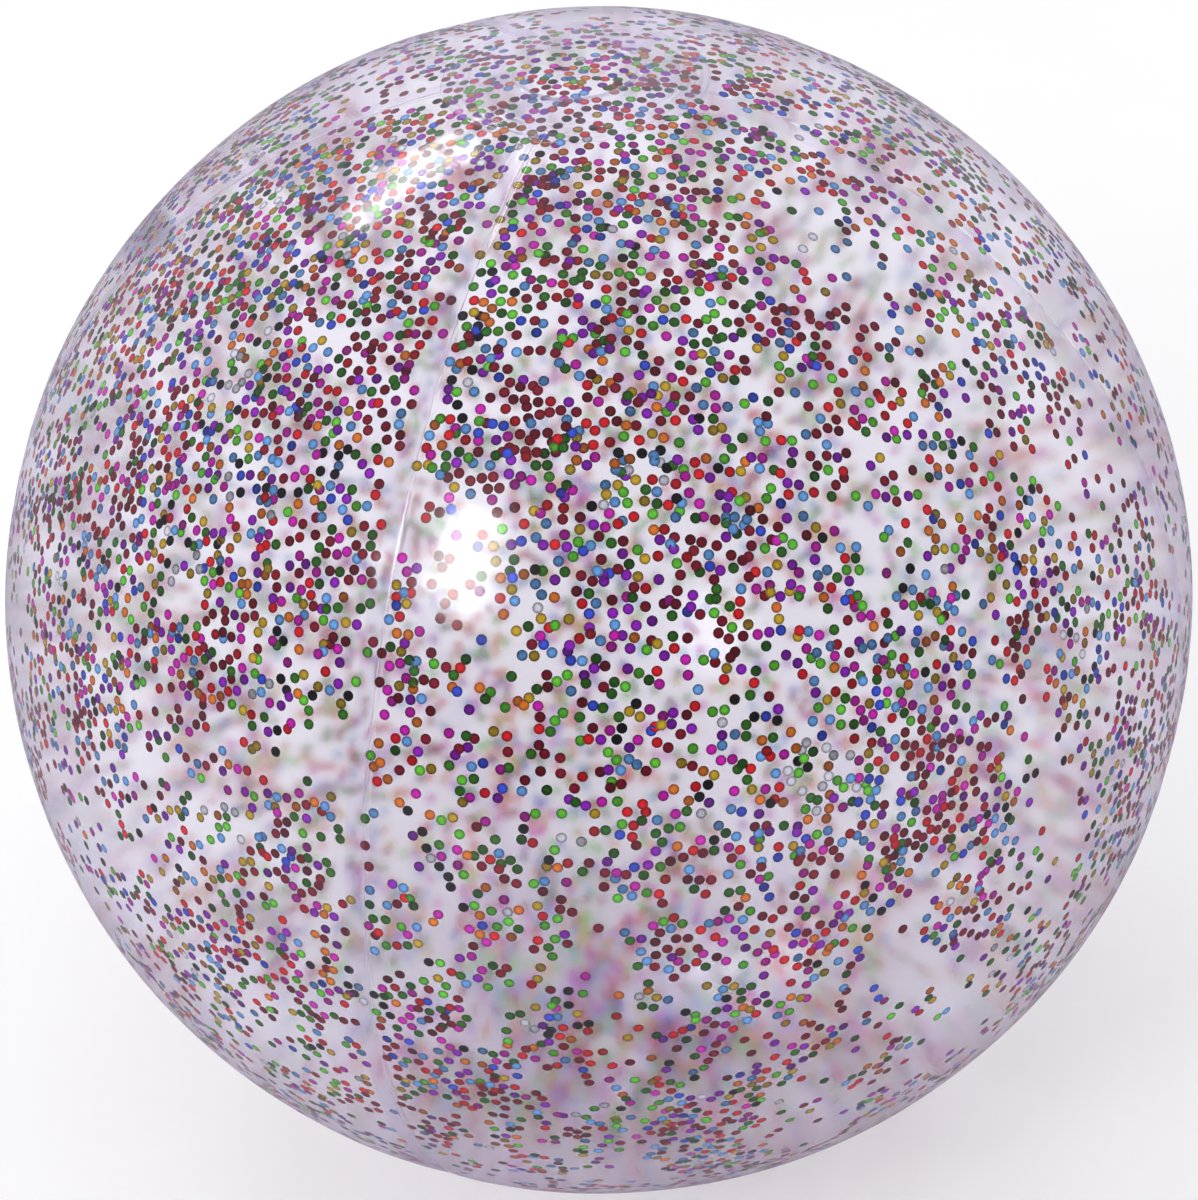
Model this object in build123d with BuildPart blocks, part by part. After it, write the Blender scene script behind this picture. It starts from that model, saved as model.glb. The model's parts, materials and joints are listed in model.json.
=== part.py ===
"""Clear inflatable beach ball with loose glitter, as an assembly of its real pieces, in millimetres.

The ball is inflated and at rest. The origin is its centre and +Z runs through the upper cap. Film panels
lap over each other along their seams, a round cap closes each pole, and a push-in valve sits in one panel.
"""

import os
from math import acos, asin, cos, degrees, radians, sin, sqrt

from build123d import *

# Film envelope
BALL_RADIUS = 200.0  # outer face of the film
FILM = 0.25  # thickness of the clear film
WELD_GAP = 0.02  # gap that stands for a weld line between two layers
FIRST_SEAM = -112.0  # degrees about +Z, where the front panel begins
PANEL_ANGLES = {
    "front_panel": 92.0,
    "right_panel": 67.0,
    "back_panel": 67.0,
    "back_left_panel": 67.0,
    "left_panel": 67.0,
}  # degrees about +Z from seam to seam, going round from the front panel
LAP = 6.0  # width of the welded lap along a seam
BUTT_GAP = 0.2  # gap between a panel's edge and the step of the next one
STEP_WIDTH = 1.6  # how far a panel's step runs under its own film
GORE_MOUTH_RADIUS = 18.0  # the panels stop here, under the caps
CAP_RADIUS = 41.0
CAP_RIDGE_RADII = (33.0, 35.5, 38.0, 40.2)  # concentric ridges of the cap's ring weld
CAP_RIDGE_SIZE = 0.22

# Valve, in its own frame: heights are above the outer face of the film, along the valve's axis
VALVE_PANEL = "back_left_panel"
VALVE_LATITUDE = 28.0
VALVE_HOLE_RADIUS = 13.5
VALVE_HOLE_REACH = 5.0  # how far the hole is cut to each side of the film
FLANGE_BORE_RADIUS = 13.0
FLANGE_RADIUS = 20.0
FLANGE_THICKNESS = 0.5
BOOT_THICKNESS = 0.5
BOOT_LIP_RADIUS = 14.5
BOOT_LIP_TOP = -1.35
BOOT_MOUTH_RADIUS = 12.2
BOOT_FOOT_RADIUS = 7.0
STEM_RADIUS = 5.0
BORE_RADIUS = 3.5
STEM_TOP = -1.6
STEM_FOOT = -14.5
STEM_FOOT_RADIUS = 6.4
STEM_FOOT_THICKNESS = 0.9
STEM_RIM_FILLET = 0.4
FLAP_RADIUS = 4.6
FLAP_THICKNESS = 0.4
FLAP_GAP = 0.05
FLAP_HINGE_REACH = 4.9  # from the valve's axis to the flap's hinge line
FLAP_HINGE_WIDTH = 4.0
PLUG_CLEARANCE = 0.1
PLUG_HEAD_RADIUS = 6.0
PLUG_HEAD_THICKNESS = 1.6
PLUG_HEAD_FILLET = 0.5
PLUG_LENGTH = 8.0
PLUG_TIP_RADIUS = 2.7
PLUG_TIP_LENGTH = 2.2
PLUG_TAB_RADIUS = 2.4
PLUG_TAB_THICKNESS = 1.0
PLUG_TAB_REACH = 6.8
STRAP_WIDTH = 3.0
STRAP_THICKNESS = 0.8
STRAP_ROOT_HEIGHT = -3.4
STRAP_BEND_RADIUS = 1.3
STRAP_REACH = 8.8
STRAP_GAP = 0.12

# Glitter: twelve colours of punched film dots, which cling to the inside of the ball
FLAKE_RADIUS = 1.5875  # an eighth of an inch across
FLAKE_THICKNESS = 0.05
FLAKE_SIDES = 12
FLAKES_PER_COLOUR = 12
FLAKE_WALL_GAP = 0.5
FLAKE_VALVE_CLEARANCE = 9.0  # degrees round the valve's axis
GLITTER_COLOURS = (
    "burgundy", "red", "magenta", "violet", "blue", "sky",
    "forest", "green", "gold", "orange", "black", "silver",
)  # fmt: skip

# Worked out from the sizes above
FILM_INNER_RADIUS = BALL_RADIUS - FILM
TONGUE_OUTER_RADIUS = FILM_INNER_RADIUS - WELD_GAP
TONGUE_INNER_RADIUS = TONGUE_OUTER_RADIUS - FILM
CAP_INNER_RADIUS = BALL_RADIUS + WELD_GAP
CAP_OUTER_RADIUS = CAP_INNER_RADIUS + FILM
PANEL_NAMES = list(PANEL_ANGLES)
PANEL_WIDTHS = list(PANEL_ANGLES.values())
SEAMS = [FIRST_SEAM + sum(PANEL_WIDTHS[:count]) for count in range(len(PANEL_WIDTHS) + 1)]
VALVE_LONGITUDE = SEAMS[PANEL_NAMES.index(VALVE_PANEL)] + PANEL_ANGLES[VALVE_PANEL] / 2
MOUTH_ANGLE = degrees(asin(GORE_MOUTH_RADIUS / BALL_RADIUS))
CENTRE = Vector(0, 0, 0)


def direction(longitude, latitude):
    """Unit vector from the ball's centre, with both angles in degrees."""
    lon, lat = radians(longitude), radians(latitude)
    return Vector(cos(lat) * cos(lon), cos(lat) * sin(lon), sin(lat))


VALVE_AXIS = direction(VALVE_LONGITUDE, VALVE_LATITUDE)
VALVE_SIDE = direction(VALVE_LONGITUDE + 90, 0)
VALVE_DOWN = VALVE_AXIS.cross(VALVE_SIDE)
VALVE_MOUTH = VALVE_AXIS * BALL_RADIUS
VALVE_LINE = Axis(CENTRE, VALVE_AXIS)
# A plane that holds the valve's axis: x runs sideways, and y runs outward from the film's outer face
VALVE_SECTION = Plane(VALVE_MOUTH, x_dir=VALVE_SIDE, z_dir=VALVE_SIDE.cross(VALVE_AXIS))


def across_valve(height):
    """Plane square to the valve's axis, at this height above the film's outer face."""
    return Plane(VALVE_MOUTH + VALVE_AXIS * height, x_dir=VALVE_SIDE, z_dir=VALVE_AXIS)


def save(part, name):
    """Labels a finished piece and writes it as one STEP file."""
    part.label = name
    export_step(part, f"parts/{name}.step")


def on_arc(radius, angle):
    """Point at this radius and this angle in degrees from the section's y axis."""
    return (radius * sin(radians(angle)), radius * cos(radians(angle)))


def band(inner, outer, start, end):
    """Flat shape between two arcs about its origin, from one angle to another."""
    middle = (start + end) / 2
    with BuildSketch() as shape:
        with BuildLine():
            ThreePointArc(on_arc(outer, start), on_arc(outer, middle), on_arc(outer, end))
            Line(on_arc(outer, end), on_arc(inner, end))
            ThreePointArc(on_arc(inner, end), on_arc(inner, middle), on_arc(inner, start))
            Line(on_arc(inner, start), on_arc(outer, start))
        make_face()
    return shape.sketch


def strip(inner, outer, seam, low, far_seam, high):
    """Layer of film from pole mouth to pole mouth, between two planes that run along the ball's axis.

    One plane lies low past the seam's plane, and the other lies high past far_seam's plane, both in mm.
    """
    spare = 20.0  # degrees of film beyond each plane, which the planes cut away
    near_normal = direction(seam + 90, 0)
    far_normal = direction(far_seam + 90, 0)
    with BuildPart() as layer:
        with BuildSketch(Plane.XZ.rotated((0, 0, seam - spare))):
            add(band(inner, outer, MOUTH_ANGLE, 180 - MOUTH_ANGLE))
        revolve(axis=Axis.Z, revolution_arc=far_seam - seam + 2 * spare)
        split(bisect_by=Plane(near_normal * low, z_dir=near_normal), keep=Keep.TOP)
        split(bisect_by=Plane(far_normal * high, z_dir=far_normal), keep=Keep.BOTTOM)
    return layer.part


def panel(name):
    """One film panel: its far edge lies over the next panel, whose stepped edge runs under it."""
    number = PANEL_NAMES.index(name)
    seam, far_seam = SEAMS[number], SEAMS[number + 1]
    near_edge = LAP / 2 + BUTT_GAP
    step_end = near_edge + STEP_WIDTH
    # the step and the panel's own film are one sheet, so a core joins the two layers
    core_inner = TONGUE_INNER_RADIUS + FILM / 2
    core_outer = BALL_RADIUS - FILM / 2
    with BuildPart() as skin:
        add(strip(FILM_INNER_RADIUS, BALL_RADIUS, seam, near_edge, far_seam, LAP / 2))
        add(strip(TONGUE_INNER_RADIUS, TONGUE_OUTER_RADIUS, seam, -LAP / 2, seam, step_end))
        add(strip(core_inner, core_outer, seam, near_edge + FILM, seam, step_end - FILM))
        if name == VALVE_PANEL:
            with BuildSketch(across_valve(0)):
                Circle(VALVE_HOLE_RADIUS)
            extrude(amount=VALVE_HOLE_REACH, both=True, mode=Mode.SUBTRACT)
    return skin.part


def cap(side):
    """Round film cap with the ridges of its ring weld. side is 1 for the upper pole, -1 for the lower."""
    edge_angle = degrees(asin(CAP_RADIUS / CAP_OUTER_RADIUS))
    with BuildPart() as disc:
        with BuildSketch(Plane.XZ):
            add(band(CAP_INNER_RADIUS, CAP_OUTER_RADIUS, 0, edge_angle))
            for ridge in CAP_RIDGE_RADII:
                with Locations(on_arc(CAP_OUTER_RADIUS, degrees(asin(ridge / CAP_OUTER_RADIUS)))):
                    Circle(CAP_RIDGE_SIZE)
        revolve(axis=Axis.Z)
        if side < 0:
            mirror(about=Plane.XY, mode=Mode.REPLACE)
    return disc.part


def valve_flange():
    """Ring welded inside the panel, round the hole."""
    outer = TONGUE_OUTER_RADIUS
    inner = outer - FLANGE_THICKNESS
    start, end = (degrees(asin(r / outer)) for r in (FLANGE_BORE_RADIUS, FLANGE_RADIUS))
    with BuildPart() as ring:
        with BuildSketch(Plane(CENTRE, x_dir=VALVE_SIDE, z_dir=VALVE_SIDE.cross(VALVE_AXIS))):
            add(band(inner, outer, start, end))
        revolve(axis=VALVE_LINE)
    return ring.part


def valve_boot():
    """Soft funnel between the flange and the stem. It rolls inside out as the stem is pulled out."""
    foot = STEM_FOOT + STEM_FOOT_THICKNESS
    lip_bottom = BOOT_LIP_TOP - BOOT_THICKNESS
    with BuildPart() as funnel:
        with BuildSketch(VALVE_SECTION):
            with BuildLine():
                Polyline(
                    (BOOT_LIP_RADIUS, BOOT_LIP_TOP),
                    (BOOT_MOUTH_RADIUS, BOOT_LIP_TOP),
                    (BOOT_FOOT_RADIUS - BOOT_THICKNESS, foot),
                    (BOOT_FOOT_RADIUS - BOOT_THICKNESS, foot - BOOT_THICKNESS),
                    (BOOT_FOOT_RADIUS, foot - BOOT_THICKNESS),
                    (BOOT_MOUTH_RADIUS + BOOT_THICKNESS, lip_bottom),
                    (BOOT_LIP_RADIUS, lip_bottom),
                    close=True,
                )
            make_face()
        revolve(axis=VALVE_LINE)
    return funnel.part


def valve_stem():
    """Tube that the ball is blown up through, with a foot that the boot holds."""
    foot_top = STEM_FOOT + STEM_FOOT_THICKNESS
    with BuildPart() as tube:
        with BuildSketch(VALVE_SECTION):
            with BuildLine():
                Polyline(
                    (BORE_RADIUS, STEM_FOOT),
                    (STEM_FOOT_RADIUS, STEM_FOOT),
                    (STEM_FOOT_RADIUS, foot_top),
                    (STEM_RADIUS, foot_top),
                    (STEM_RADIUS, STEM_TOP),
                    (BORE_RADIUS, STEM_TOP),
                    close=True,
                )
            make_face()
        revolve(axis=VALVE_LINE)
        fillet(tube.edges().sort_by(VALVE_LINE)[-2:], STEM_RIM_FILLET)
    return tube.part


def valve_flap():
    """Disc that closes the stem's inner end, on a thin hinge at one side: air goes in and not out."""
    top = STEM_FOOT - FLAP_GAP
    with BuildPart() as disc:
        with BuildSketch(across_valve(top)):
            Circle(FLAP_RADIUS)
            with Locations((-FLAP_HINGE_REACH / 2, 0)):
                Rectangle(FLAP_HINGE_REACH, FLAP_HINGE_WIDTH)
        extrude(amount=-FLAP_THICKNESS)
    return disc.part


def valve_plug():
    """Stopper: a shank with a tapered tip, a round head, and a tab to pull it by."""
    shank = BORE_RADIUS - PLUG_CLEARANCE
    head_bottom = STEM_TOP + PLUG_CLEARANCE
    head_top = head_bottom + PLUG_HEAD_THICKNESS
    tip = head_bottom - PLUG_LENGTH
    with BuildPart() as stopper:
        with BuildSketch(VALVE_SECTION):
            with BuildLine():
                Polyline(
                    (0, tip),
                    (PLUG_TIP_RADIUS, tip),
                    (shank, tip + PLUG_TIP_LENGTH),
                    (shank, head_bottom),
                    (PLUG_HEAD_RADIUS, head_bottom),
                    (PLUG_HEAD_RADIUS, head_top),
                    (0, head_top),
                    close=True,
                )
            make_face()
        revolve(axis=VALVE_LINE)
        fillet(stopper.edges().filter_by(GeomType.CIRCLE).sort_by(VALVE_LINE)[-1], PLUG_HEAD_FILLET)
        with BuildSketch(across_valve(head_bottom)):
            with Locations((-PLUG_TAB_REACH, 0)):
                Circle(PLUG_TAB_RADIUS)
        extrude(amount=PLUG_TAB_THICKNESS)
    return stopper.part


def plug_strap():
    """Soft strap that keeps the plug: it runs out from the stem, turns back and meets the plug's head."""
    upper = STRAP_ROOT_HEIGHT + 2 * STRAP_BEND_RADIUS
    with BuildPart() as strap:
        with BuildLine(VALVE_SECTION) as path:
            Line((STEM_RADIUS + STRAP_GAP, STRAP_ROOT_HEIGHT), (STRAP_REACH, STRAP_ROOT_HEIGHT))
            ThreePointArc(
                (STRAP_REACH, STRAP_ROOT_HEIGHT),
                (STRAP_REACH + STRAP_BEND_RADIUS, STRAP_ROOT_HEIGHT + STRAP_BEND_RADIUS),
                (STRAP_REACH, upper),
            )
            Line((STRAP_REACH, upper), (PLUG_HEAD_RADIUS + STRAP_GAP, upper))
        with BuildSketch(Plane(path.line @ 0, x_dir=VALVE_DOWN, z_dir=VALVE_SIDE)):
            Rectangle(STRAP_WIDTH, STRAP_THICKNESS)
        sweep()
    return strap.part


def flake_places():
    """Evenly spread directions from the centre for all flakes, clear of the valve."""
    wanted = FLAKES_PER_COLOUR * len(GLITTER_COLOURS)
    golden_turn = 180 * (3 - sqrt(5))
    cap_share = (1 - cos(radians(FLAKE_VALVE_CLEARANCE))) / 2
    count = round(wanted / (1 - cap_share)) + 2
    places = []
    for k in range(count):
        latitude = 90 - degrees(acos(1 - 2 * (k + 0.5) / count))
        place = direction(k * golden_turn, latitude)
        if place.get_angle(VALVE_AXIS) > FLAKE_VALVE_CLEARANCE:
            places.append(place)
    return places[:wanted]


def glitter(places):
    """One colour of flakes, as separate solids that lie flat against the inside of the film."""
    outer = TONGUE_INNER_RADIUS - FLAKE_WALL_GAP
    planes = [Plane(place * outer, z_dir=-place) for place in places]
    with BuildPart() as flakes:
        with BuildSketch(*planes):
            RegularPolygon(FLAKE_RADIUS, FLAKE_SIDES)
        extrude(amount=FLAKE_THICKNESS)
    return flakes.part


os.makedirs("parts", exist_ok=True)
for panel_name in PANEL_NAMES:
    save(panel(panel_name), panel_name)
save(cap(1), "upper_cap")
save(cap(-1), "lower_cap")
save(valve_flange(), "valve_flange")
save(valve_boot(), "valve_boot")
save(valve_stem(), "valve_stem")
save(valve_flap(), "valve_flap")
save(valve_plug(), "valve_plug")
save(plug_strap(), "plug_strap")
all_places = flake_places()
for order, colour in enumerate(GLITTER_COLOURS):
    save(glitter(all_places[order :: len(GLITTER_COLOURS)]), f"glitter_{colour}")
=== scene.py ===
import json
import math

import bpy
import numpy as np
from mathutils import Matrix, Vector


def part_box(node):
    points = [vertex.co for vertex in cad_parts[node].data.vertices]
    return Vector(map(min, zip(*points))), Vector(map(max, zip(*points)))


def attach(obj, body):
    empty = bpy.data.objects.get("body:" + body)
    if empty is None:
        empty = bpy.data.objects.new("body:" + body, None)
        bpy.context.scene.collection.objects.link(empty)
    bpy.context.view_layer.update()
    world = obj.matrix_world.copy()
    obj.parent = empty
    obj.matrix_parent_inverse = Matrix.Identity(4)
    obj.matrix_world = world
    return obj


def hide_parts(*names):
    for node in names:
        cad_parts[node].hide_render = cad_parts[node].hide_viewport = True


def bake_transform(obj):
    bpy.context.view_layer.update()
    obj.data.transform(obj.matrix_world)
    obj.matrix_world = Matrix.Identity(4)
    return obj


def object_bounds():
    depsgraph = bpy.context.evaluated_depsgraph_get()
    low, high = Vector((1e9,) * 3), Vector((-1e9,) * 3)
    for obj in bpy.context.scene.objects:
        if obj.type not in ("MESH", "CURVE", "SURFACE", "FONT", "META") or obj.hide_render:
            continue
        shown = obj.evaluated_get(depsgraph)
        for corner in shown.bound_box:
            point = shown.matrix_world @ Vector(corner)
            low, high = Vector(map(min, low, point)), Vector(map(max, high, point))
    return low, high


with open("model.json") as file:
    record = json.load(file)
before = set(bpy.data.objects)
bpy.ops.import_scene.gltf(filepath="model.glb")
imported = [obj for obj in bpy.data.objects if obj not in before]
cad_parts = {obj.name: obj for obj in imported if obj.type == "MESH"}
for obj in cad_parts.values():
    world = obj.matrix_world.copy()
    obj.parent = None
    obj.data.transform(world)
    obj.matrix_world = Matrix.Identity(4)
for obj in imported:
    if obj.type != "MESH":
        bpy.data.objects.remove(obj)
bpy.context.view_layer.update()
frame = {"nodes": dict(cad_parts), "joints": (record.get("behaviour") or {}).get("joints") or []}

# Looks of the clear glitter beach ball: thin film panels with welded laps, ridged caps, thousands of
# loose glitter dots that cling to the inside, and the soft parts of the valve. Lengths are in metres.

MM = 0.001
UP = Vector((0, 0, 1))
FULL_TURN = 2 * math.pi
WHITE = (1, 1, 1, 1)

# Film, in the same build-up as the CAD panels
PANELS = ("front_panel", "right_panel", "back_panel", "back_left_panel", "left_panel")
VALVE_PANEL = "back_left_panel"
FILM = 0.25 * MM
WELD_GAP = 0.02 * MM
LAP_HALF = 3.0 * MM  # the lap reaches this far to each side of its seam
STEP_START = 3.2 * MM  # where a panel leaves the lap and rises to the outer level
STEP_END = 4.8 * MM
MOUTH_RADIUS = 18.0 * MM  # the panels stop here, under the caps
SEAM_ZONE = 8.0 * MM  # finely divided stretch to each side of a seam
SEAM_PITCH = 0.35 * MM
PANEL_PITCH = 4.5 * MM
BEAD_HEIGHT = 0.16 * MM  # melted edge of a weld
BEAD_WIDTH = 0.45 * MM
STEP_GROOVE = 0.5  # the groove at the step, as a share of a bead
EQUATOR_BAND = 0.2  # points this close to the equator, in radii, tell where a panel begins and ends

# How far the blown-up film lies inside the true sphere
PLANE_WAVES = 14  # in each random field
WAVE_SPREAD = (0.7, 1.3)  # of their wave numbers
BROAD_DIP = 0.25 * MM
BROAD_SWING = 0.5
BROAD_WAVE = 110 * MM
BROAD_SEED = 1
SEAM_DIP = 0.7 * MM  # the film is drawn in along its seams
SEAM_DIP_ROUNDING = 3 * MM
SEAM_DIP_REACH = 11 * MM
SEAM_PUCKER = 0.16 * MM
SEAM_PUCKER_REACH = 12 * MM
SEAM_PUCKER_WAVE = 17 * MM
SEAM_PUCKER_SEED = 2
CAP_PUCKER = 0.14 * MM
CAP_PUCKER_RADIUS = 52 * MM  # from the pole
CAP_PUCKER_REACH = 20 * MM
CAP_FOLDS = 23
CAP_FOLD_STRAY = 3
CAP_FOLD_WAVE = 90 * MM
CAP_FOLD_SEED = 3
RIPPLE = 0.03 * MM
RIPPLE_WAVE = 26 * MM
RIPPLE_SEED = 4

# Caps
CAPS = (("upper_cap", 1), ("lower_cap", -1))  # each with its side of the ball
CAP_RIDGES = (19.5 * MM, 33.0 * MM, 35.5 * MM, 38.0 * MM, 40.2 * MM)
CAP_RIDGE_HEIGHT = 0.22 * MM
CAP_RIDGE_WIDTH = 0.5 * MM
CAP_PITCH = 0.4 * MM
CAP_SPOKES = 120

# Glitter dots
DOT_COUNT = 19500
DOT_RADIUS = 1.5875 * MM
DOT_THICKNESS = 0.05 * MM
DOT_SIDES = 12
DOT_TILT = math.radians(2.0)
DOT_MOST_TILT = math.radians(6.0)
DOT_DEPTHS = (0.36 * MM, 0.62 * MM)  # below the film's outer face
LAP_DEPTH = 0.35 * MM  # further down under a seam's two layers
RIM = "rim"  # a dot's own attribute: 0 in its middle and 1 at its edge
DOT_SEED = 23

# Share of the dots and film colour (linear red, green, blue) of each CAD colour node
GLITTER = {
    "glitter_burgundy": (0.150, (0.210, 0.001, 0.014)),
    "glitter_red": (0.130, (0.620, 0.004, 0.010)),
    "glitter_magenta": (0.100, (0.540, 0.004, 0.380)),
    "glitter_violet": (0.085, (0.240, 0.004, 0.420)),
    "glitter_blue": (0.040, (0.030, 0.070, 0.560)),
    "glitter_sky": (0.100, (0.120, 0.330, 0.680)),
    "glitter_forest": (0.120, (0.022, 0.140, 0.004)),
    "glitter_green": (0.085, (0.110, 0.520, 0.025)),
    "glitter_gold": (0.060, (0.480, 0.310, 0.010)),
    "glitter_orange": (0.070, (0.640, 0.160, 0.010)),
    "glitter_black": (0.040, (0.006, 0.004, 0.005)),
    "glitter_silver": (0.020, (0.600, 0.610, 0.660)),
}
HUE_CLUMPING = 0.22  # how far neighbouring dots tend to share a colour
HUE_WAVE = 34 * MM
HUE_SEED = 14

# Where the dots lie: a base chance, random waves (strength, wavelength, seed) and the patches below
SCATTER_SEED = 7
TRIES_AT_ONCE = 20000
FIRST_HOSTS = DOT_COUNT // 20  # dots begin to cling once more than this many are placed
CLING_SHARE = 0.5  # of the tries start beside a dot that is already placed
CLING_DISTANCES = (1.98, 2.2)  # in dot radii
OVERLAP_SHARE = 0.18  # of the tries may lie partly over another dot
OVERLAP_DISTANCE = 0.9  # least distance between dots that may overlap, in dot radii
FREE_DISTANCE = 1.94  # least distance between all other dots
CROWDING_BASE = 0.42
LEAST_CROWDING = 0.02
CROWDING_WAVES = ((0.09, 150 * MM, 11), (0.17, 62 * MM, 12), (0.17, 28 * MM, 13))
CAP_CROWDING = 0.25
CAP_CROWDING_RADIUS = 30 * MM
CAP_CROWDING_REACH = 22 * MM
SEAM_CHANCE = 0.12  # share of the chance that is left on a seam
SEAM_CLEARING = (2.6 * MM, 4.2 * MM)  # the chance rises back over this distance from a seam
VALVE_CLEAR_RADIUS = 23.0 * MM  # no dots lie this close to the valve's axis

# Patches where dots crowd together (positive) or leave the film bare (negative): longitude, latitude and
# reach in degrees, and strength
PATCH_SCALE = 0.35
PATCHES = (
    (-92, 62, 18, 1.5),
    (-92, 82, 14, 1.2),
    (-85, 48, 16, 0.9),
    (-128, 34, 15, 0.9),
    (-82, 20, 14, 0.7),
    (-62, 16, 10, 0.9),
    (-50, 30, 10, 0.5),
    (-105, 40, 7, -0.8),
    (-70, 34, 8, -0.9),
    (-112, 60, 7, -0.9),
    (-64, -4, 7, -0.8),
    (-145, 54, 20, 2.4),
    (-120, 66, 12, 1.2),
    (-60, -26, 16, -0.5),
)

# Valve
VALVE_HOLE_RADIUS = 13.5 * MM
VALVE_HOLE_SPOKES = 96
CUTTER_HALF_HEIGHT = 6 * MM
BOOT_SHEET = 0.5 * MM
BOOT_LIP = 2.3 * MM  # flat ring at the boot's wide end
BOOT_LIP_SHARE = 0.15  # of the boot's steps
BOOT_STEPS = 40
BOOT_SPOKES = 72
BOOT_ROUNDING = 0.35  # 0 is a straight cone and 1 a full bell
BOOT_FOLD = 0.12 * MM
BOOT_FOLDS = 5
STRAP_THICKNESS = 0.8 * MM
STRAP_END = 6.12 * MM  # where the strap meets the plug's head
STRAP_STEPS = (10, 18, 8)  # along the lower run, the bend and the upper run
STRAP_FIRST_STEP = 0.1  # where the upper run's points begin, past the bend, as a share of the run
STRAP_SIDES = 20
STRAP_SQUARENESS = (0.35, 0.7)  # of the section's width and thickness: 1 is an oval and 0 a rectangle

# Glitter material: how far a colour varies from dot to dot, how its rim differs, and the painted
# backlight that makes its inward side paler
DOT_DARK = 0.30
DOT_LIGHT = 1.5
DOT_LIFT = 0.01
DOT_BACKLIGHT_PALING = 0.66  # power that pales a colour on the inward side, as painted backlight
DOT_GRAIN_SHARE = 0.3
DOT_RIM_SHADE = (0.30, 0.30, 0.30, 1)
DOT_RIM_SPAN = (0.45, 0.95)  # where the rim's shade begins and is full, from the middle to the edge
DOT_SPECULAR = 0.12

# Clear film: at its edges, seen from the side, it tints, clouds and mirrors more
FILM_GRAIN = 0.12  # height of the fine grain as a share of the broad swell's
FILM_BUMP = 0.35 * MM
FILM_TINT = (0.960, 0.948, 0.992, 1)
FILM_EDGE_TINT = (0.85, 0.82, 0.92, 1)
FILM_EDGE_POWER = 3.0
FILM_SCATTER = 0.36  # blurs the far wall
FILM_BEND = 1.04  # low, because the two faces of a thin sheet bend light to and fro
FILM_MILK = (0.80, 0.76, 0.88, 1)
FILM_GLOW_SHARE = 0.55  # of the milk lets light through, and the rest sends it back
FILM_HAZE = 0.004
FILM_EDGE_HAZE = 0.10
FILM_MIRROR = 0.068
FILM_EDGE_MIRROR = 0.45
MIRROR_POWER = 5.0
MIRROR_BLUR = 0.15
FILM_SHADOW = (0.93, 0.92, 0.95, 1)

# Soft moulded vinyl of the valve
VINYL_CAST = (0.86, 0.86, 0.90, 1)
VINYL_MILK = (0.80, 0.80, 0.86, 1)
VINYL_GLOW = (0.85, 0.85, 0.92, 1)
VINYL_GLOW_SHARE = 0.4
VINYL_CLOUD = 0.35
VINYL_EDGE_CLOUD = 0.5
VINYL_CLOUD_WAVE = 0.1
VINYL_MIRROR = 0.05
VINYL_EDGE_MIRROR = 0.9

# Studio. Mirrored in the film, it shows darker than it lights the ball
FLOOR_HALF = 6.0
FLOOR_TONES = ((0.93, 0.93, 0.94, 1), (0.96, 0.96, 0.97, 1))
FLOOR_MIRRORED = (0.40, 0.39, 0.45, 1)
WORLD_LIGHT = (0.92, 0.92, 0.92, 1)
WORLD_MIRRORED = (
    (0.0, (0.03, 0.03, 0.04, 1)),
    (0.5, (0.20, 0.20, 0.24, 1)),
    (1.0, (0.88, 0.86, 0.98, 1)),
)
SOFTBOX_DISTANCE = 2.2
SOFTBOXES = (  # name, direction from the ball, width, height, radiance
    ("upper_softbox", (-0.36, 0.555, 0.735), 0.80, 0.22, 9.0),
    ("front_softbox", (-0.40, -0.65, 0.64), 0.48, 0.62, 10.0),
)

# Camera: the ball fills the frame, seen from five radii away and from above, leaning a little to the left
CAMERA_DISTANCE_IN_RADII = 5.0
CAMERA_ELEVATION = math.radians(36.0)
CAMERA_ROLL = math.radians(-2.6)
CAMERA_CLIP = (0.01, 50.0)
FRAME_FILL = 0.991  # the ball's height as a share of the picture's
SENSOR = 36.0


# ---------------------------------------------------------------- measuring the frame


def node_points(name):
    """The CAD node's vertices as rows of x, y, z."""
    mesh = frame["nodes"][name].data
    points = np.empty(len(mesh.vertices) * 3)
    mesh.vertices.foreach_get("co", points)
    return points.reshape(-1, 3)


def joint(name):
    """The record's joint of this name."""
    return next(j for j in frame["joints"] if j["name"] == name)


def panel_span(name):
    """Longitudes of a panel's first and last seam, in radians, from its points near the equator."""
    points = node_points(name)
    near_equator = points[np.abs(points[:, 2]) < BALL_RADIUS * EQUATOR_BAND]
    x, y = near_equator.mean(axis=0)[:2]
    middle = math.atan2(y, x)
    turns = np.arctan2(near_equator[:, 1], near_equator[:, 0]) - middle
    turns = (turns + math.pi) % FULL_TURN - math.pi
    lap = math.asin(LAP_HALF / BALL_RADIUS)
    return middle + turns.min() + lap, middle + turns.max() - lap


BALL_RADIUS = np.linalg.norm(node_points("front_panel"), axis=1).max()
CAP_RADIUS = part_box("upper_cap")[1].x
SPANS = {name: panel_span(name) for name in PANELS}
SEAMS = np.array([start for start, end in SPANS.values()])
VALVE_AXIS = Vector(joint("stem_pull")["axis"]).normalized()
VALVE_MOUTH = VALVE_AXIS * BALL_RADIUS
VALVE_SIDE = UP.cross(VALVE_AXIS).normalized()
VALVE_DOWN = VALVE_AXIS.cross(VALVE_SIDE)


# ---------------------------------------------------------------- the shape of the blown-up film


def circle_turns(count):
    """Evenly spaced angles of a full circle."""
    return np.linspace(0, FULL_TURN, count, endpoint=False)


def unit_rows(rows):
    """The rows scaled to length 1."""
    return rows / np.linalg.norm(rows, axis=1)[:, None]


def smoothstep(low, high, values):
    """0 below low and 1 above high, with an even rise between them."""
    share = np.clip((values - low) / (high - low), 0, 1)
    return share * share * (3 - 2 * share)


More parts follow.
